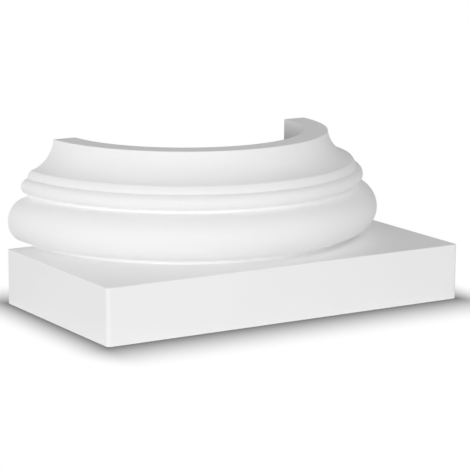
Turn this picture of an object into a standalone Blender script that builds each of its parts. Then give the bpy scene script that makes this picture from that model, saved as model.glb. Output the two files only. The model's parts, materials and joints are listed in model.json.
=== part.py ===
"""Half column base in metres, +Z up, front towards -Y.

One moulded piece: a rectangular plinth carries half a turn of mouldings, from the foot up a torus, a
groove, a bead, a fillet that leans back and a cavetto that ends in a flat rim. A half-round hollow for
the column's shaft runs through it from top to underside, and the back is cut off flat where it meets
the wall. The origin is at the middle of the underside.
"""
import math

import bmesh
import bpy

# Plan of the mouldings, worked outward from the shaft
HOLLOW_RADIUS = 0.1113
RIM_WIDTH = 0.0224
CAVETTO_REACH = 0.0233
FILLET_LEAN = 0.0034
TORUS_PROJECTION = 0.0196
FOOT_SETBACK = 0.0242

# Heights and sections of the mouldings, from the plinth upward
PLINTH_HEIGHT = 0.0501
FOOT_HEIGHT = 0.0045
TORUS_RADIUS = 0.0207
GROOVE_HEIGHT = 0.0027
BEAD_HEIGHT = 0.0135
BEAD_PROJECTION = 0.0062
FILLET_HEIGHT = 0.0070
FILLET_SWELL = 0.0006
CAVETTO_HEIGHT = 0.0263
CAVETTO_SAG = 0.0055

# Plinth in plan: its sides line up with the torus, its front stands a little before it
PLINTH_FRONT_MARGIN = 0.0044
PLINTH_ARRIS = 0.0034

# Facets
HALF_TURN_STEPS = 60
TORUS_STEPS = 18
BEAD_STEPS = 9
FILLET_STEPS = 4
CAVETTO_STEPS = 10
PLINTH_ARRIS_STEPS = 4
SMOOTH_ANGLE = math.radians(30)

# Radii and levels that follow from the dimensions above
RIM_RADIUS = HOLLOW_RADIUS + RIM_WIDTH
CAVETTO_FOOT_RADIUS = RIM_RADIUS + CAVETTO_REACH
NECK_RADIUS = CAVETTO_FOOT_RADIUS + FILLET_LEAN
NOSE_RADIUS = NECK_RADIUS + TORUS_PROJECTION
TORUS_CENTRE_RADIUS = NOSE_RADIUS - TORUS_RADIUS
FOOT_RADIUS = NOSE_RADIUS - FOOT_SETBACK

TORUS_FOOT_ANGLE = -math.acos((FOOT_RADIUS - TORUS_CENTRE_RADIUS) / TORUS_RADIUS)
TORUS_CENTRE_LEVEL = PLINTH_HEIGHT + FOOT_HEIGHT - TORUS_RADIUS * math.sin(TORUS_FOOT_ANGLE)
TORUS_TOP_ANGLE = math.acos((NECK_RADIUS - TORUS_CENTRE_RADIUS) / TORUS_RADIUS)
GROOVE_LEVEL = TORUS_CENTRE_LEVEL + TORUS_RADIUS * math.sin(TORUS_TOP_ANGLE)
BEAD_LEVEL = GROOVE_LEVEL + GROOVE_HEIGHT
FILLET_LEVEL = BEAD_LEVEL + BEAD_HEIGHT
CAVETTO_LEVEL = FILLET_LEVEL + FILLET_HEIGHT
RIM_LEVEL = CAVETTO_LEVEL + CAVETTO_HEIGHT

PLINTH_WIDTH = 2 * NOSE_RADIUS
PLINTH_DEPTH = NOSE_RADIUS + PLINTH_FRONT_MARGIN
WALL_Y = PLINTH_DEPTH / 2
FACET_ANGLE = math.pi / HALF_TURN_STEPS

# How far the raw solids and their cutters run past the faces that trim them
TRIM_RUN = RIM_WIDTH

WHITE_PRIMER = {"colour": (0.94, 0.94, 0.94, 1.0), "roughness": 0.52, "metallic": 0.0}


def clear_scene():
    """Remove whatever objects the scene starts with."""
    for item in list(bpy.data.objects):
        bpy.data.objects.remove(item, do_unlink=True)


def arc(centre, radius, start, end, steps):
    """Points (radius, level) of an arc in the section, from angle start to angle end, both included."""
    turns = (start + (end - start) * step / steps for step in range(steps + 1))
    return [(centre[0] + radius * math.cos(turn), centre[1] + radius * math.sin(turn)) for turn in turns]


def bulge(lower, upper, rise, steps):
    """Arc from lower to upper that swells outward by rise, or is hollowed inward where rise is negative."""
    run, climb = upper[0] - lower[0], upper[1] - lower[1]
    chord = math.hypot(run, climb)
    depth = abs(rise)
    radius = (chord * chord / 4 + depth * depth) / (2 * depth)
    side = math.copysign(1.0, rise)
    outward = (side * climb / chord, -side * run / chord)
    centre = tuple((a + b) / 2 - out * (radius - depth) for a, b, out in zip(lower, upper, outward))
    start = math.atan2(lower[1] - centre[1], lower[0] - centre[0])
    end = math.atan2(upper[1] - centre[1], upper[0] - centre[0])
    sweep = (side * (end - start)) % (2 * math.pi) * side
    return arc(centre, radius, start, start + sweep, steps)


def moulding_section():
    """Closed section of the mouldings as (radius, level) points, from inside the plinth up to the rim."""
    sunk_level = PLINTH_HEIGHT / 2
    core_radius = HOLLOW_RADIUS / 2
    section = [(core_radius, sunk_level), (FOOT_RADIUS, sunk_level)]
    torus_centre = (TORUS_CENTRE_RADIUS, TORUS_CENTRE_LEVEL)
    section += arc(torus_centre, TORUS_RADIUS, TORUS_FOOT_ANGLE, TORUS_TOP_ANGLE, TORUS_STEPS)
    fillet_foot, cavetto_foot = (NECK_RADIUS, FILLET_LEVEL), (CAVETTO_FOOT_RADIUS, CAVETTO_LEVEL)
    section += bulge((NECK_RADIUS, BEAD_LEVEL), fillet_foot, BEAD_PROJECTION, BEAD_STEPS)
    section += bulge(fillet_foot, cavetto_foot, FILLET_SWELL, FILLET_STEPS)[1:]
    section += bulge(cavetto_foot, (RIM_RADIUS, RIM_LEVEL), -CAVETTO_SAG, CAVETTO_STEPS)[1:]
    section.append((core_radius, RIM_LEVEL))
    return section


def link_mesh(name, bm):
    """Turn bm into a linked object called name, with its faces pointing out."""
    bmesh.ops.recalc_face_normals(bm, faces=bm.faces)
    mesh = bpy.data.meshes.new(name)
    bm.to_mesh(mesh)
    bm.free()
    item = bpy.data.objects.new(name, mesh)
    bpy.context.scene.collection.objects.link(item)
    return item


def turned_mouldings():
    """Half a turn of the mouldings round the shaft's axis, running half a facet past the wall at each end."""
    bm = bmesh.new()
    first = FACET_ANGLE / 2
    points = [bm.verts.new((radius * math.cos(first), WALL_Y + radius * math.sin(first), level))
              for radius, level in moulding_section()]
    face = bm.faces.new(points)
    bmesh.ops.spin(
        bm, geom=[face, *face.edges, *face.verts], cent=(0.0, WALL_Y, 0.0), axis=(0.0, 0.0, 1.0),
        angle=-(math.pi + FACET_ANGLE), steps=HALF_TURN_STEPS + 1)
    return link_mesh("turned_mouldings", bm)


def block(name, low, high):
    """Rectangular block between two opposite corners."""
    bm = bmesh.new()
    bmesh.ops.create_cube(bm, size=1.0)
    for vert in bm.verts:
        vert.co = [low[i] if vert.co[i] < 0 else high[i] for i in range(3)]
    return link_mesh(name, bm)


def plinth_block():
    """Plinth with its two front upright edges rounded, running past the wall at the back."""
    low = (-PLINTH_WIDTH / 2, -PLINTH_DEPTH / 2, 0.0)
    high = (PLINTH_WIDTH / 2, WALL_Y + TRIM_RUN, PLINTH_HEIGHT)
    plinth = block("half_column_base", low, high)
    bm = bmesh.new()
    bm.from_mesh(plinth.data)
    uprights = [edge for edge in bm.edges
                if edge.verts[0].co.z != edge.verts[1].co.z and edge.verts[0].co.y < 0]
    bmesh.ops.bevel(
        bm, geom=uprights, offset=PLINTH_ARRIS, segments=PLINTH_ARRIS_STEPS, profile=0.5, affect="EDGES")
    bm.to_mesh(plinth.data)
    bm.free()
    return plinth


def shaft_cutter():
    """Upright cylinder on the shaft's axis, taller than the base, that cuts the hollow."""
    bm = bmesh.new()
    bmesh.ops.create_cone(
        bm, cap_ends=True, segments=2 * HALF_TURN_STEPS, radius1=HOLLOW_RADIUS, radius2=HOLLOW_RADIUS,
        depth=RIM_LEVEL + 2 * TRIM_RUN)
    cutter = link_mesh("shaft_cutter", bm)
    cutter.location = (0.0, WALL_Y, RIM_LEVEL / 2)
    cutter.rotation_euler.z = FACET_ANGLE / 2
    return cutter


def wall_cutter():
    """Block behind the wall plane that cuts the back off flat."""
    reach = NOSE_RADIUS + TRIM_RUN
    low = (-reach, WALL_Y, -TRIM_RUN)
    high = (reach, WALL_Y + 2 * TRIM_RUN, RIM_LEVEL + TRIM_RUN)
    return block("wall_cutter", low, high)


def combine(body, tool, operation):
    """Join tool to body, or cut it away, with a Boolean modifier."""
    tool.hide_render = True
    tool.display_type = "WIRE"
    modifier = body.modifiers.new(f"{operation.lower()} {tool.name}", "BOOLEAN")
    modifier.operation = operation
    modifier.solver = "EXACT"
    modifier.object = tool


def settle(body, tools):
    """Replace the body's mesh by what its modifiers make of it, and drop them and the tools."""
    depsgraph = bpy.context.evaluated_depsgraph_get()
    mesh = bpy.data.meshes.new_from_object(body.evaluated_get(depsgraph))
    body.modifiers.clear()
    body.data = mesh
    for tool in tools:
        bpy.data.objects.remove(tool, do_unlink=True)


def primer_material():
    """White factory primer of the moulding."""
    material = bpy.data.materials.new("white_primer")
    material.use_nodes = True
    shader = material.node_tree.nodes["Principled BSDF"]
    shader.inputs["Base Color"].default_value = WHITE_PRIMER["colour"]
    shader.inputs["Roughness"].default_value = WHITE_PRIMER["roughness"]
    shader.inputs["Metallic"].default_value = WHITE_PRIMER["metallic"]
    return material


def build():
    """Build the half column base as one solid."""
    clear_scene()
    base = plinth_block()
    mouldings, shaft, wall = turned_mouldings(), shaft_cutter(), wall_cutter()
    combine(base, mouldings, "UNION")
    combine(base, shaft, "DIFFERENCE")
    combine(base, wall, "DIFFERENCE")
    settle(base, (mouldings, shaft, wall))
    base.data.materials.clear()
    base.data.materials.append(primer_material())
    base.data.shade_smooth()
    base.data.set_sharp_from_angle(angle=SMOOTH_ANGLE)


build()
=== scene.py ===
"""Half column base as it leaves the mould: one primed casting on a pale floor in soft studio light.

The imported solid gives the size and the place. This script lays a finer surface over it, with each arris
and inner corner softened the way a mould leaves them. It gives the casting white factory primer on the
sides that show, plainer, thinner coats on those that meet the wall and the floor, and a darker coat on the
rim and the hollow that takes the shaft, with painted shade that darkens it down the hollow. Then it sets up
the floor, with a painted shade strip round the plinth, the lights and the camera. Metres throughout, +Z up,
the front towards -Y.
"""
from __future__ import annotations

import json
import logging
import math
from dataclasses import dataclass, field
from enum import Enum
from typing import NamedTuple

import bmesh
import bpy
from mathutils import Matrix, Vector

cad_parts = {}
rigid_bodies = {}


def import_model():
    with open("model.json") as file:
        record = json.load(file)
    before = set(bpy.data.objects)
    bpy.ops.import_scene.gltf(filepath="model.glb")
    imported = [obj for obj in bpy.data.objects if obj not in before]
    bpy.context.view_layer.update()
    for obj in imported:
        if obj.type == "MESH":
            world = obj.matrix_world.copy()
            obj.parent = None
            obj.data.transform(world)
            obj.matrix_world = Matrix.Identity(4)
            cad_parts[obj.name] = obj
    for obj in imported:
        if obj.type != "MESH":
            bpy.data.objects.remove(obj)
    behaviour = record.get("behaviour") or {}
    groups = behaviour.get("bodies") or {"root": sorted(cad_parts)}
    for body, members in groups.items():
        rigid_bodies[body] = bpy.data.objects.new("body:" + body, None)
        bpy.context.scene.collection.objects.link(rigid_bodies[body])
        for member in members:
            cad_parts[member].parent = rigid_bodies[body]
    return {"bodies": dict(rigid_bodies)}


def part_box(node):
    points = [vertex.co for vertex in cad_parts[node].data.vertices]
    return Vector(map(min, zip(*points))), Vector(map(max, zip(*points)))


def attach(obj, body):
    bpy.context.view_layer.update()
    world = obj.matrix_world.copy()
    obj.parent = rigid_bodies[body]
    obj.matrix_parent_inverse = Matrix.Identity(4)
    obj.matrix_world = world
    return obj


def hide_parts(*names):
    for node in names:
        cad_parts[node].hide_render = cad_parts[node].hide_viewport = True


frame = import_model()

CAD_NODE = "half_column_base"
BODY = next(iter(frame["bodies"]))
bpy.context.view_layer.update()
LOW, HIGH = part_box(CAD_NODE)

ARRIS_LAYER = "arris"
NOISE_LOW, NOISE_HIGH = 0.3, 0.7
DIFFUSE_BOUNCES = 12
# A vertex nearer than this to the plane of the wall lies in it
FLUSH = 0.00003

log = logging.getLogger(CAD_NODE)


class Coat(Enum):
    """Which coat a face of the casting carries; the value is its material slot on the mesh."""

    SHOWN = 0
    SHAFT = 1
    HIDDEN = 2


class SectionPoint(NamedTuple):
    """One point of the moulding section, in the half plane through the shaft's axis.

    Attributes:
        radius: distance from the shaft's axis.
        level: height above the floor.
        soft: radius that softens the corner here, or 0 where the point lies on a smooth stretch.
        arris: 1 on a rounded arris, -1 in a softened inner corner, 0 elsewhere.
    """

    radius: float
    level: float
    soft: float = 0.0
    arris: float = 0.0


def arc(
        centre: tuple[float, float], radius: float, start: float, end: float,
        steps: int) -> list[SectionPoint]:
    """Trace an arc in the section.

    Args:
        centre: radius and level of the arc's centre.
        radius: the arc's radius.
        start: angle of the first point, 0 pointing away from the shaft.
        end: angle of the last point.
        steps: number of chords.

    Returns:
        The points from start to end, both included.
    """
    points = []
    for step in range(steps + 1):
        turn = start + (end - start) * step / steps
        points.append(SectionPoint(centre[0] + radius * math.cos(turn), centre[1] + radius * math.sin(turn)))
    return points


def bulge(lower: SectionPoint, upper: SectionPoint, rise: float, steps: int) -> list[SectionPoint]:
    """Trace the arc between two points that stands off their chord.

    Args:
        lower: first point.
        upper: last point.
        rise: how far the arc swells away from the shaft, negative where it is hollowed towards it.
        steps: number of chords.

    Returns:
        The arc's points, with both ends' softening kept.
    """
    run, climb = upper.radius - lower.radius, upper.level - lower.level
    chord, depth, side = math.hypot(run, climb), abs(rise), math.copysign(1.0, rise)
    radius = (chord * chord / 4 + depth * depth) / (2 * depth)
    back = side * (radius - depth) / chord
    centre = ((lower.radius + upper.radius) / 2 - back * climb, (lower.level + upper.level) / 2 + back * run)
    start = math.atan2(lower.level - centre[1], lower.radius - centre[0])
    end = math.atan2(upper.level - centre[1], upper.radius - centre[0])
    sweep = (side * (end - start)) % (2 * math.pi) * side
    return [lower, *arc(centre, radius, start, start + sweep, steps)[1:-1], upper]


def softened(points: list[SectionPoint], steps: int) -> list[SectionPoint]:
    """Round off the corners of a section.

    Args:
        points: the section with its sharp corners, each with the radius that softens it.
        steps: number of chords on each rounded corner.

    Returns:
        The section with an arc in place of each corner that has a radius.
    """
    traced = []
    for before, here, after in zip([points[0], *points], points, [*points[1:], points[-1]]):
        if not here.soft:
            traced.append(here)
            continue
        corner = Vector(here[:2])
        back, ahead = Vector(before[:2]) - corner, Vector(after[:2]) - corner
        reach = min(back.length, ahead.length)
        back.normalize()
        ahead.normalize()
        half = back.angle(ahead) / 2
        tangent = min(here.soft / math.tan(half), reach)
        centre = corner + (back + ahead).normalized() * (tangent / math.cos(half))
        spoke = corner + back * tangent - centre
        turn = math.copysign(math.pi - 2 * half, ahead.cross(back))
        for step in range(steps + 1):
            place = centre + Matrix.Rotation(turn * step / steps, 2) @ spoke
            traced.append(SectionPoint(place.x, place.y, arris=math.copysign(1.0, turn)))
    return traced


@dataclass(frozen=True)
class Plinth:
    """Rectangular plinth under the mouldings. The frame gives its plan.

    Attributes:
        half_width: half its width, from the frame.
        front: where its front face stands.
        wall: where it meets the wall.
        height: height of its top above the floor.
        upright_arris: radius of its two front upright edges.
        level_arris: radius of the edges round its top and foot.
        cut_arris: radius of the edges in the plane of the wall.
        upright_steps: faces across an upright arris.
        level_steps: faces across a level arris.
        cut_steps: faces across a cut arris.
    """

    half_width: float = HIGH.x
    front: float = LOW.y
    wall: float = HIGH.y
    height: float = 0.0501
    upright_arris: float = 0.0034
    level_arris: float = 0.0006
    cut_arris: float = 0.0003
    upright_steps: int = 6
    level_steps: int = 3
    cut_steps: int = 2

    def corners(self, level: float) -> list[Vector]:
        """List the corners of the plan.

        Args:
            level: height above the floor.

        Returns:
            The corners, from the back left round the front to the back right.
        """
        left, right = -self.half_width, self.half_width
        plan = ((left, self.wall), (left, self.front), (right, self.front), (right, self.wall))
        return [Vector((x, y, level)) for x, y in plan]


@dataclass(frozen=True)
class Mouldings:
    """Half-round mouldings on the plinth and the hollow behind them.

    Attributes:
        plinth: what they stand on. The torus is as wide as it is.
        rim_level: height of the rim, from the frame.
        foot_height: height of the upright foot that lifts the torus off the plinth.
        foot_setback: how far the foot stands behind the torus's widest line.
        torus_radius: radius of the torus's round.
        torus_projection: how far the torus stands out from the neck.
        groove_height: height of the groove between the torus and the bead.
        bead_height: height of the bead.
        bead_projection: how far the bead stands out from the neck.
        fillet_height: height of the fillet above the bead.
        fillet_lean: how far the fillet leans back on its way up.
        fillet_swell: how far it bulges off its straight line.
        cavetto_reach: how far the cavetto goes in from the fillet to the rim.
        cavetto_sag: how far it is hollowed behind its straight line.
        rim_width: width of the flat rim, from the cavetto to the hollow.
        crisp_arris: radius of the edges of the rim and of the hollow's foot.
        fillet_arris: radius of the edge between the fillet and the cavetto.
        quirk: radius that fills each inner corner of the mouldings.
        foot_cove: radius that fills the corner between the plinth and the foot.
        torus_steps: chords on the torus.
        bead_steps: chords on the bead.
        fillet_steps: chords on the fillet.
        cavetto_steps: chords on the cavetto.
        corner_steps: chords on each softened corner.
    """

    plinth: Plinth = Plinth()
    rim_level: float = HIGH.z
    foot_height: float = 0.0045
    foot_setback: float = 0.0242
    torus_radius: float = 0.0207
    torus_projection: float = 0.0196
    groove_height: float = 0.0027
    bead_height: float = 0.0135
    bead_projection: float = 0.0062
    fillet_height: float = 0.0070
    fillet_lean: float = 0.0034
    fillet_swell: float = 0.0006
    cavetto_reach: float = 0.0233
    cavetto_sag: float = 0.0055
    rim_width: float = 0.0224
    crisp_arris: float = 0.0006
    fillet_arris: float = 0.0003
    quirk: float = 0.0008
    foot_cove: float = 0.0010
    torus_steps: int = 56
    bead_steps: int = 24
    fillet_steps: int = 12
    cavetto_steps: int = 34
    corner_steps: int = 5

    def neck_radius(self) -> float:
        """Radius at the foot of the bead and of the fillet."""
        return self.plinth.half_width - self.torus_projection

    def cavetto_foot_radius(self) -> float:
        """Radius of the edge between the fillet and the cavetto."""
        return self.neck_radius() - self.fillet_lean

    def rim_radius(self) -> float:
        """Outer radius of the flat rim."""
        return self.cavetto_foot_radius() - self.cavetto_reach

    def hollow_radius(self) -> float:
        """Radius of the hollow that takes the shaft."""
        return self.rim_radius() - self.rim_width

    def section(self) -> list[SectionPoint]:
        """Trace the section from the plinth's top over the mouldings and down the hollow to the underside.

        Returns:
            The softened section, without the two ends that only give its corners their direction.
        """
        base, torus_radius = self.plinth.height, self.torus_radius
        neck, rim, hollow = self.neck_radius(), self.rim_radius(), self.hollow_radius()
        foot = self.plinth.half_width - self.foot_setback
        torus_start = -math.acos((foot - self.plinth.half_width + torus_radius) / torus_radius)
        torus_level = base + self.foot_height - torus_radius * math.sin(torus_start)
        torus = (self.plinth.half_width - torus_radius, torus_level)
        torus_end = math.acos((neck - torus[0]) / torus_radius)
        groove_level = torus[1] + torus_radius * math.sin(torus_end)
        bead_level = groove_level + self.groove_height
        fillet_level = bead_level + self.bead_height
        cavetto_level = fillet_level + self.fillet_height

        points = [SectionPoint(foot + self.rim_width, base)]
        points.append(SectionPoint(foot, base, self.foot_cove))
        points.append(SectionPoint(foot, base + self.foot_height, self.quirk))
        points += arc(torus, torus_radius, torus_start, torus_end, self.torus_steps)[1:-1]
        points.append(SectionPoint(neck, groove_level, self.quirk))
        bead_foot = SectionPoint(neck, bead_level, self.quirk)
        fillet_foot = SectionPoint(neck, fillet_level, self.quirk)
        points += bulge(bead_foot, fillet_foot, self.bead_projection, self.bead_steps)
        cavetto_foot = SectionPoint(self.cavetto_foot_radius(), cavetto_level, self.fillet_arris)
        points += bulge(fillet_foot, cavetto_foot, self.fillet_swell, self.fillet_steps)[1:]
        rim_edge = SectionPoint(rim, self.rim_level, self.crisp_arris)
        points += bulge(cavetto_foot, rim_edge, -self.cavetto_sag, self.cavetto_steps)[1:]
        points.append(SectionPoint(hollow, self.rim_level, self.crisp_arris))
        points.append(SectionPoint(hollow, 0.0, self.crisp_arris))
        points.append(SectionPoint(hollow + self.rim_width, 0.0))
        return softened(points, self.corner_steps)[1:-1]


@dataclass
class HalfColumnBase:
    """The casting: plinth, mouldings and hollow in one skin.

    Attributes:
        name: the object's name.
        mouldings: what the skin follows, with the plinth under it.
        turn_steps: faces along the half turn.
        normal_weight: how much the large faces keep the shading flat.
    """

    name: str = "half_column_base_casting"
    mouldings: Mouldings = field(default_factory=Mouldings)
    turn_steps: int = 240
    normal_weight: int = 50

    def turned(self, point: SectionPoint, step: int) -> Vector:
        """Place a section point on the turn, which runs from the left end to the right.

        Args:
            point: the point of the section.
            step: how many steps of the turn lie before it.

        Returns:
            Its place.
        """
        turn = math.pi * step / self.turn_steps
        wall = self.mouldings.plinth.wall
        return Vector((-point.radius * math.cos(turn), wall - point.radius * math.sin(turn), point.level))

    def rings(self, bm: bmesh.types.BMesh) -> list[list[bmesh.types.BMVert]]:
        """Turn the section and lay faces between its places.

        Args:
            bm: the mesh that takes the vertices and faces.

        Returns:
            The vertices of each place of the section, from the left end to the right.
        """
        layer = bm.verts.layers.float.new(ARRIS_LAYER)
        section = self.mouldings.section()
        rings = []
        for step in range(self.turn_steps + 1):
            ring = [bm.verts.new(self.turned(point, step)) for point in section]
            for vert, point in zip(ring, section):
                vert[layer] = point.arris
            rings.append(ring)
        rim_edge = self.mouldings.rim_radius() - self.mouldings.crisp_arris / 2
        for ring, following in zip(rings, rings[1:]):
            for low, high in zip(range(len(section)), range(1, len(section))):
                face = bm.faces.new((ring[low], following[low], following[high], ring[high]))
                meets_shaft = max(section[low].radius, section[high].radius) < rim_edge
                face.material_index = (Coat.SHAFT if meets_shaft else Coat.SHOWN).value
        return rings

    def skin(self) -> bmesh.types.BMesh:
        """Build the closed skin with the plinth's edges still sharp.

        Returns:
            A mesh whose faces carry their coat and whose vertices carry how they bend.
        """
        bm = bmesh.new()
        rings = self.rings(bm)
        plinth = self.mouldings.plinth
        floor = [bm.verts.new(corner) for corner in plinth.corners(0.0)]
        top = [bm.verts.new(corner) for corner in plinth.corners(plinth.height)]
        for side in range(3):
            bm.faces.new((floor[side], floor[side + 1], top[side + 1], top[side]))
        bm.faces.new([*top, *(ring[0] for ring in reversed(rings))])
        hidden = [
            bm.faces.new([*floor, *(ring[-1] for ring in reversed(rings))]),
            bm.faces.new([floor[0], top[0], *rings[0]]),
            bm.faces.new([floor[-1], top[-1], *rings[-1]]),
        ]
        for face in hidden:
            face.material_index = Coat.HIDDEN.value
        bmesh.ops.recalc_face_normals(bm, faces=bm.faces)
        return bm

    def is_upright(self, edge: bmesh.types.BMEdge) -> bool:
        """Tell whether an edge is one of the plinth's two front upright edges.

        Args:
            edge: an edge of the skin.

        Returns:
            True if it is.
        """
        plinth = self.mouldings.plinth
        foot, head = (vert.co for vert in edge.verts)
        in_front = max(abs(foot.y - plinth.front), abs(head.y - plinth.front)) < plinth.cut_arris
        return in_front and abs(head.z - foot.z) > plinth.height / 2

    def is_level(self, edge: bmesh.types.BMEdge) -> bool:
        """Tell whether an edge runs along the plinth's top or foot on one of its three open sides.

        Args:
            edge: an edge of the skin.

        Returns:
            True if it does.
        """
        plinth = self.mouldings.plinth
        ends = [vert.co for vert in edge.verts]
        near, round_corner = plinth.cut_arris, plinth.upright_arris
        levels = (0.0, plinth.height)
        at_height = any(all(abs(end.z - level) < near for end in ends) for level in levels)
        outside = all(
            plinth.half_width - abs(end.x) < round_corner or end.y - plinth.front < round_corner
            for end in ends)
        return at_height and outside and min(end.y for end in ends) < plinth.wall - near

    def is_cut(self, edge: bmesh.types.BMEdge) -> bool:
        """Tell whether an edge lies in the plane where the base meets the wall."""
        plinth = self.mouldings.plinth
        return all(plinth.wall - vert.co.y < FLUSH for vert in edge.verts)

    def soften(
            self, bm: bmesh.types.BMesh, edges: list[bmesh.types.BMEdge], radius: float,
            steps: int) -> None:
        """Round the given edges of the skin.

        Args:
            bm: the skin.
            edges: the sharp edges.
            radius: radius of the arris.
            steps: number of faces across the arris.
        """
        made = bmesh.ops.bevel(
            bm, geom=edges, offset=radius, segments=steps, profile=0.5, affect="EDGES",
            clamp_overlap=False, material=-1)
        layer = bm.verts.layers.float[ARRIS_LAYER]
        for vert in made["verts"]:
            vert[layer] = 1.0

    def build(self) -> bpy.types.Object:
        """Build the casting with its arrises softened.

        Returns:
            The finished object, still without its coats.
        """
        plinth = self.mouldings.plinth
        bm = self.skin()
        self.soften(bm, list(filter(self.is_upright, bm.edges)), plinth.upright_arris, plinth.upright_steps)
        self.soften(bm, list(filter(self.is_level, bm.edges)), plinth.level_arris, plinth.level_steps)
        self.soften(bm, list(filter(self.is_cut, bm.edges)), plinth.cut_arris, plinth.cut_steps)
        mesh = bpy.data.meshes.new(self.name)
        bm.to_mesh(mesh)
        bm.free()
        mesh.shade_smooth()
        casting = placed(self.name, mesh)
        flat = casting.modifiers.new("flat faces stay flat", "WEIGHTED_NORMAL")
        flat.mode = "FACE_AREA"
        flat.weight = self.normal_weight
        return casting

    def dress(self, casting: bpy.types.Object) -> None:
        """Give the casting its coats, in the order of their slots.

        Args:
            casting: the finished object.
        """
        coats = {Coat.SHOWN: SHOWN_PRIMER, Coat.SHAFT: SHAFT_PRIMER, Coat.HIDDEN: HIDDEN_PRIMER}
        for coat in Coat:
            casting.data.materials.append(coats[coat].material())


class Sheet:
    """Node tree of one material, with short calls that add nodes and join them."""

    def __init__(self, name: str) -> None:
        """Start a material with its output and its shader.

        Args:
            name: the material's name.
        """
        self.material = bpy.data.materials.new(name)
        self.material.use_nodes = True
        self.nodes = self.material.node_tree.nodes
        self.shader = self.nodes["Principled BSDF"]
        self.output = self.nodes["Material Output"]

    def add(
            self, kind: str, values: dict[str | int, object] | None = None,
            **settings: object) -> bpy.types.Node:
        """Add a node.

        Args:
            kind: the node's type, without its ShaderNode prefix.
            values: plain values for its inputs, by name or number.
            settings: values for its own properties.

        Returns:
            The new node.
        """
        node = self.nodes.new(f"ShaderNode{kind}")
        for name, value in settings.items():
            setattr(node, name, value)
        for name, value in (values or {}).items():
            node.inputs[name].default_value = value
        return node

    def join(self, output: bpy.types.NodeSocket, socket: bpy.types.NodeSocket) -> None:
        """Join an output to an input."""
        self.material.node_tree.links.new(output, socket)

    def noise(self, size: float, detail: float = 2.0) -> bpy.types.NodeSocket:
        """Noise over the object's own coordinates.

        Args:
            size: width of its larger blotches in metres.
            detail: number of finer layers.

        Returns:
            The noise's value, from 0 to 1.
        """
        place = self.add("TexCoord").outputs["Object"]
        noise = self.add("TexNoise", {"Scale": 1 / size, "Detail": detail})
        self.join(place, noise.inputs["Vector"])
        return noise.outputs["Fac"]

    def mapped(
            self, value: bpy.types.NodeSocket, source: tuple[float, float],
            target: tuple[float, float]) -> bpy.types.NodeSocket:
        """Map a value from one range to another, and keep it inside.

        Args:
            value: the value's socket.
            source: the two ends that it comes with.
            target: what they become.

        Returns:
            The mapped value.
        """
        ends = {"From Min": source[0], "From Max": source[1], "To Min": target[0], "To Max": target[1]}
        node = self.add("MapRange", ends)
        self.join(value, node.inputs["Value"])
        return node.outputs["Result"]

    def spread(self, size: float, low: float, high: float) -> bpy.types.NodeSocket:
        """Noise spread over a range.

        Args:
            size: width of its larger blotches in metres.
            low: what its usual low end becomes.
            high: what its usual high end becomes.

        Returns:
            The spread noise.
        """
        return self.mapped(self.noise(size), (NOISE_LOW, NOISE_HIGH), (low, high))

    def darkened_down_hollow(
            self, tone: bpy.types.NodeSocket, hollow_shade_colour: tuple[float, float, float],
            depth: float) -> bpy.types.NodeSocket:
        """Paint shade over a colour below the rim, darker the deeper down the hollow.

        Args:
            tone: the colour at the rim.
            hollow_shade_colour: the painted shade's colour at the bottom of the fade.
            depth: metres below the rim over which the painted shade deepens.

        Returns:
            The colour with its painted shade.
        """
        # Painted shade: the colour is mixed towards a dark one the deeper it lies below the rim, standing in
        # for the shade in the hollow.
        place = self.add("SeparateXYZ")
        self.join(self.add("TexCoord").outputs["Object"], place.inputs["Vector"])
        mix = self.add("Mix", data_type="RGBA")
        mix.inputs["B"].default_value = (*hollow_shade_colour, 1.0)
        self.join(tone, mix.inputs["A"])
        share = self.mapped(place.outputs["Z"], (HIGH.z, HIGH.z - depth), (0.0, 1.0))
        self.join(share, mix.inputs["Factor"])
        return mix.outputs["Result"]


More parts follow.
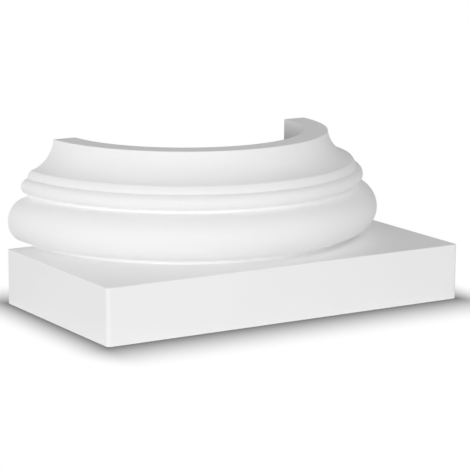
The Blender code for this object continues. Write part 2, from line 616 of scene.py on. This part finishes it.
@dataclass(frozen=True)
class Primer:
    """White factory primer sprayed on a moulding.

    Attributes:
        name: the material's name.
        thin: colour where the coat is thinner.
        full: colour where it is at full thickness.
        cloud: width in metres of the coat's slow changes.
        gloss: roughness on the smoothest spots.
        matt: roughness on the driest spots.
        dry_spot: width in metres of those spots.
        peel: width in metres of the orange peel.
        peel_height: height in metres of the orange peel.
        grain: width in metres of the spray's grain.
        grain_height: height in metres of the grain.
        arris_gain: how much a rounded arris is rubbed smoother.
        specular: level of the shader's specular reflection.
        hollow_shade_colour: colour of the painted shade deep in the hollow.
        hollow_shade_depth: metres below the rim over which painted shade darkens the hollow, or 0 for none.
    """

    name: str
    thin: tuple[float, float, float]
    full: tuple[float, float, float]
    cloud: float
    gloss: float
    matt: float
    dry_spot: float
    peel: float
    peel_height: float
    grain: float
    grain_height: float
    arris_gain: float
    specular: float = 0.4
    hollow_shade_colour: tuple[float, float, float] = (0.0, 0.0, 0.0)
    hollow_shade_depth: float = 0.0

    def material(self) -> bpy.types.Material:
        """Build the coat: slow changes of tone and gloss, painted shade down the hollow where asked, an
        orange peel and the spray's fine grain.

        Returns:
            The new material.
        """
        sheet = Sheet(self.name)
        colour = sheet.add("Mix", data_type="RGBA")
        colour.inputs["A"].default_value = (*self.thin, 1.0)
        colour.inputs["B"].default_value = (*self.full, 1.0)
        sheet.join(sheet.spread(self.cloud, 0.0, 1.0), colour.inputs["Factor"])
        tone = colour.outputs["Result"]
        # Painted shade: darkens the colour down the hollow below the rim.
        if self.hollow_shade_depth:
            tone = sheet.darkened_down_hollow(tone, self.hollow_shade_colour, self.hollow_shade_depth)
        sheet.join(tone, sheet.shader.inputs["Base Color"])

        arris = sheet.add("Attribute", attribute_name=ARRIS_LAYER)
        rubbed = sheet.add("Math", {1: -self.arris_gain}, operation="MULTIPLY_ADD")
        sheet.join(arris.outputs["Fac"], rubbed.inputs[0])
        sheet.join(sheet.spread(self.dry_spot, self.gloss, self.matt), rubbed.inputs[2])
        sheet.join(rubbed.outputs["Value"], sheet.shader.inputs["Roughness"])
        sheet.shader.inputs["Specular IOR Level"].default_value = self.specular

        peel = sheet.add("Bump", {"Distance": self.peel_height, "Strength": 1.0})
        grain = sheet.add("Bump", {"Distance": self.grain_height, "Strength": 1.0})
        sheet.join(sheet.noise(self.peel, 1.0), peel.inputs["Height"])
        sheet.join(sheet.noise(self.grain, 3.0), grain.inputs["Height"])
        sheet.join(peel.outputs["Normal"], grain.inputs["Normal"])
        sheet.join(grain.outputs["Normal"], sheet.shader.inputs["Normal"])
        return sheet.material


SHOWN_PRIMER = Primer(
    name="white_primer_shown", thin=(0.957, 0.957, 0.957), full=(0.973, 0.973, 0.973), cloud=0.060,
    gloss=0.46, matt=0.56, dry_spot=0.0024, peel=0.0030, peel_height=0.000020, grain=0.0006,
    grain_height=0.000006, arris_gain=0.08)
# Rim and hollow: a darker coat than the shown one; below the rim its colour darkens further into painted
# shade down the hollow.
SHAFT_PRIMER = Primer(
    name="white_primer_shaft", thin=(0.875, 0.875, 0.875), full=(0.895, 0.895, 0.895), cloud=0.045,
    gloss=0.52, matt=0.64, dry_spot=0.0030, peel=0.0034, peel_height=0.000030, grain=0.0007,
    grain_height=0.000009, arris_gain=0.06, hollow_shade_colour=(0.330, 0.330, 0.330), hollow_shade_depth=0.027)
HIDDEN_PRIMER = Primer(
    name="white_primer_hidden", thin=(0.680, 0.680, 0.680), full=(0.720, 0.720, 0.720), cloud=0.030,
    gloss=0.60, matt=0.74, dry_spot=0.0036, peel=0.0040, peel_height=0.000060, grain=0.0009,
    grain_height=0.000016, arris_gain=0.04)


@dataclass(frozen=True)
class FloorPaint:
    """Matt pale floor with a painted shade in a soft strip round the plinth's footprint, seen only by the
    camera.

    Attributes:
        name: the material's name.
        bounce: colour of the light that it sends back up to the base.
        glow: light that it sends up besides, as if lit from beyond the boxes.
        tone: how pale it looks in the open.
        shade: share of the tone that the painted shade takes right at the base.
        end_reach: width in metres of the painted shade strip past the left and right ends of the plinth.
        front_reach: its width before the front and behind the back.
        shade_curve: how the painted shade fades across the strip, faster near the base where it is above 1.
    """

    name: str = "pale_floor"
    bounce: tuple[float, float, float] = (0.80, 0.80, 0.80)
    glow: float = 0.102
    tone: float = 1.0
    shade: float = 0.79
    end_reach: float = 0.040
    front_reach: float = 0.074
    shade_curve: float = 1.6

    def off_the_base(self, sheet: Sheet) -> bpy.types.NodeSocket:
        """Measure how far a spot of the floor lies from the plinth's footprint.

        Args:
            sheet: the floor's material.

        Returns:
            The distance as a share of the painted shade strip's width.
        """
        spot = sheet.add("TexCoord").outputs["Object"]
        steps = (
            ("ABSOLUTE", None),
            ("SUBTRACT", (HIGH.x, HIGH.y, HIGH.z)),
            ("MAXIMUM", (0.0, 0.0, 0.0)),
            ("DIVIDE", (self.end_reach, self.front_reach, 1.0)),
        )
        for operation, amount in steps:
            step = sheet.add("VectorMath", {1: amount} if amount else None, operation=operation)
            sheet.join(spot, step.inputs[0])
            spot = step.outputs["Vector"]
        length = sheet.add("VectorMath", operation="LENGTH")
        sheet.join(spot, length.inputs[0])
        return length.outputs["Value"]

    def material(self) -> bpy.types.Material:
        """Build the paint: a matt surface for the lights, and an even pale one with its painted shade strip
        for the eye.

        Returns:
            The new material.
        """
        sheet = Sheet(self.name)
        sheet.shader.inputs["Base Color"].default_value = (*self.bounce, 1.0)
        sheet.shader.inputs["Roughness"].default_value = 1.0
        sheet.shader.inputs["Specular IOR Level"].default_value = 0.0
        sheet.shader.inputs["Emission Strength"].default_value = self.glow

        # Painted shade: the floor seen by the camera darkens near the plinth's footprint by distance alone,
        # not by any cast shadow.
        near = sheet.mapped(self.off_the_base(sheet), (0.0, 1.0), (1.0, 0.0))
        curve = sheet.add("Math", {1: self.shade_curve}, operation="POWER")
        sheet.join(near, curve.inputs[0])
        tone = sheet.mapped(curve.outputs["Value"], (0.0, 1.0), (self.tone, self.tone * (1 - self.shade)))
        pale = sheet.add("Emission")
        sheet.join(tone, pale.inputs["Strength"])

        rays = sheet.add("LightPath")
        mix = sheet.add("MixShader")
        sheet.join(rays.outputs["Is Camera Ray"], mix.inputs["Fac"])
        sheet.join(sheet.shader.outputs["BSDF"], mix.inputs[1])
        sheet.join(pale.outputs["Emission"], mix.inputs[2])
        sheet.join(mix.outputs["Shader"], sheet.output.inputs["Surface"])
        return sheet.material


def placed(name: str, data: bpy.types.ID | None) -> bpy.types.Object:
    """Make an object and link it to the scene.

    Args:
        name: the object's name.
        data: its mesh, light or camera.

    Returns:
        The new object.
    """
    item = bpy.data.objects.new(name, data)
    bpy.context.scene.collection.objects.link(item)
    return item


def towards(azimuth: float, elevation: float) -> Vector:
    """Direction from the base to a viewer or a light.

    Args:
        azimuth: degrees round from the front, negative to the left as seen from the front.
        elevation: degrees above the floor.

    Returns:
        The unit vector.
    """
    round_about, up = math.radians(azimuth), math.radians(elevation)
    level = math.cos(up)
    return Vector((math.sin(round_about) * level, -math.cos(round_about) * level, math.sin(up)))


@dataclass(frozen=True)
class SoftBox:
    """Square soft box that faces the base.

    Attributes:
        name: the light's name.
        azimuth: degrees round from the front, negative to the left.
        elevation: degrees above the floor.
        power: watts.
        distance: metres from the base.
        width: metres along each side.
    """

    name: str
    azimuth: float
    elevation: float
    power: float
    distance: float = 2.4
    width: float = 1.0

    def place(self, aim: Vector) -> bpy.types.Object:
        """Hang the soft box.

        Args:
            aim: the point that it faces.

        Returns:
            The light.
        """
        lamp = bpy.data.lights.new(self.name, "AREA")
        lamp.shape = "SQUARE"
        lamp.size = self.width
        lamp.energy = self.power
        box = placed(self.name, lamp)
        back = towards(self.azimuth, self.elevation)
        box.location = aim + back * self.distance
        box.rotation_euler = back.to_track_quat("Z", "Y").to_euler()
        box.visible_camera = False
        return box


@dataclass
class Studio:
    """Pale floor, soft lights and an even pale surround.

    Attributes:
        aim: the point that every light faces.
        paint: the floor's finish.
        floor_reach: radius of the floor.
        floor_sides: number of its sides.
        surround: strength of the surround as the base sees it.
        boxes: the soft boxes.
    """

    aim: Vector = field(default_factory=lambda: Vector((0.0, 0.0, HIGH.z / 2)))
    paint: FloorPaint = field(default_factory=FloorPaint)
    floor_reach: float = 12.0
    floor_sides: int = 96
    surround: float = 0.289
    boxes: tuple[SoftBox, ...] = (
        SoftBox("key", -20.0, 28.0, 7.5),
        SoftBox("low_front", -20.0, 5.0, 8.9),
        SoftBox("front_left", -45.0, 15.0, 6.5),
        SoftBox("low_left", -70.0, 5.0, 8.5),
        SoftBox("left_behind", -120.0, 28.0, 7.0),
        SoftBox("high_behind", -150.0, 45.0, 3.5),
        SoftBox("right", 55.0, 45.0, 7.6),
        SoftBox("low_right", 42.0, 22.0, 1.6),
    )

    def floor(self) -> bpy.types.Object:
        """Lay the floor under the base.

        Returns:
            The floor.
        """
        bm = bmesh.new()
        bmesh.ops.create_circle(bm, cap_ends=True, segments=self.floor_sides, radius=self.floor_reach)
        mesh = bpy.data.meshes.new("floor")
        bm.to_mesh(mesh)
        bm.free()
        mesh.materials.append(self.paint.material())
        floor = placed("floor", mesh)
        return floor

    def light(self) -> None:
        """Set the surround, dim for the lights and pale to the eye, and hang the boxes."""
        world = bpy.data.worlds.new("pale_surround")
        world.use_nodes = True
        nodes, links = world.node_tree.nodes, world.node_tree.links
        dim = nodes["Background"]
        dim.inputs["Color"].default_value = (1.0, 1.0, 1.0, 1.0)
        dim.inputs["Strength"].default_value = self.surround
        pale = nodes.new("ShaderNodeBackground")
        pale.inputs["Color"].default_value = (1.0, 1.0, 1.0, 1.0)
        pale.inputs["Strength"].default_value = self.paint.tone
        rays = nodes.new("ShaderNodeLightPath")
        mix = nodes.new("ShaderNodeMixShader")
        links.new(rays.outputs["Is Camera Ray"], mix.inputs["Fac"])
        links.new(dim.outputs["Background"], mix.inputs[1])
        links.new(pale.outputs["Background"], mix.inputs[2])
        links.new(mix.outputs["Shader"], nodes["World Output"].inputs["Surface"])
        bpy.context.scene.world = world
        for box in self.boxes:
            box.place(self.aim)


@dataclass(frozen=True)
class PhotoCamera:
    """Camera that sees the base as the photograph does.

    Attributes:
        azimuth: degrees round from the front, negative to the left.
        elevation: degrees above the floor.
        roll: degrees that it is turned about its own line of sight.
        distance: metres from the point that it aims at.
        lens_mm: focal length.
        sensor_mm: width of the sensor.
        aim_height: height of the point on the base's middle line that the aim starts from.
        aim_right: how far the aim lies to the camera's right of that point.
        aim_up: how far it lies above that point, as the camera sees it.
        nearest: near end of the camera's range.
        farthest: far end of the camera's range.
    """

    azimuth: float = -31.764
    elevation: float = 11.479
    roll: float = 0.3565
    distance: float = 2.0561
    lens_mm: float = 175.94
    sensor_mm: float = 36.0
    aim_height: float = 0.0720
    aim_right: float = 0.0003
    aim_up: float = -0.0111
    nearest: float = 0.05
    farthest: float = 50.0

    def place(self) -> bpy.types.Object:
        """Make the camera and give it the scene.

        Returns:
            The camera.
        """
        back = towards(self.azimuth, self.elevation)
        right = Vector((0.0, 0.0, 1.0)).cross(back).normalized()
        up = back.cross(right)
        aim = Vector((0.0, 0.0, self.aim_height)) + right * self.aim_right + up * self.aim_up
        lens = bpy.data.cameras.new("photo_camera")
        lens.lens = self.lens_mm
        lens.sensor_width = self.sensor_mm
        lens.clip_start = self.nearest
        lens.clip_end = self.farthest
        camera = placed("photo_camera", lens)
        axes = Matrix((right, up, back)).transposed().to_4x4()
        tilt = Matrix.Rotation(math.radians(self.roll), 4, "Z")
        camera.matrix_world = Matrix.Translation(aim + back * self.distance) @ axes @ tilt
        bpy.context.scene.camera = camera
        return camera


def main() -> None:
    """Build the casting, the studio and the camera in order."""
    logging.basicConfig(level=logging.INFO, format="%(message)s")
    base = HalfColumnBase()
    casting = base.build()
    base.dress(casting)
    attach(casting, BODY)
    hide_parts(CAD_NODE)
    log.info("%s: %d faces", casting.name, len(casting.data.polygons))

    studio = Studio()
    studio.floor()
    studio.light()
    log.info("studio: floor and %d soft boxes", len(studio.boxes))
    PhotoCamera().place()
    bpy.context.scene.view_settings.view_transform = "Standard"
    bpy.context.scene.cycles.diffuse_bounces = DIFFUSE_BOUNCES
    bpy.context.scene.cycles.max_bounces = DIFFUSE_BOUNCES


if __name__ == "__main__":
    main()
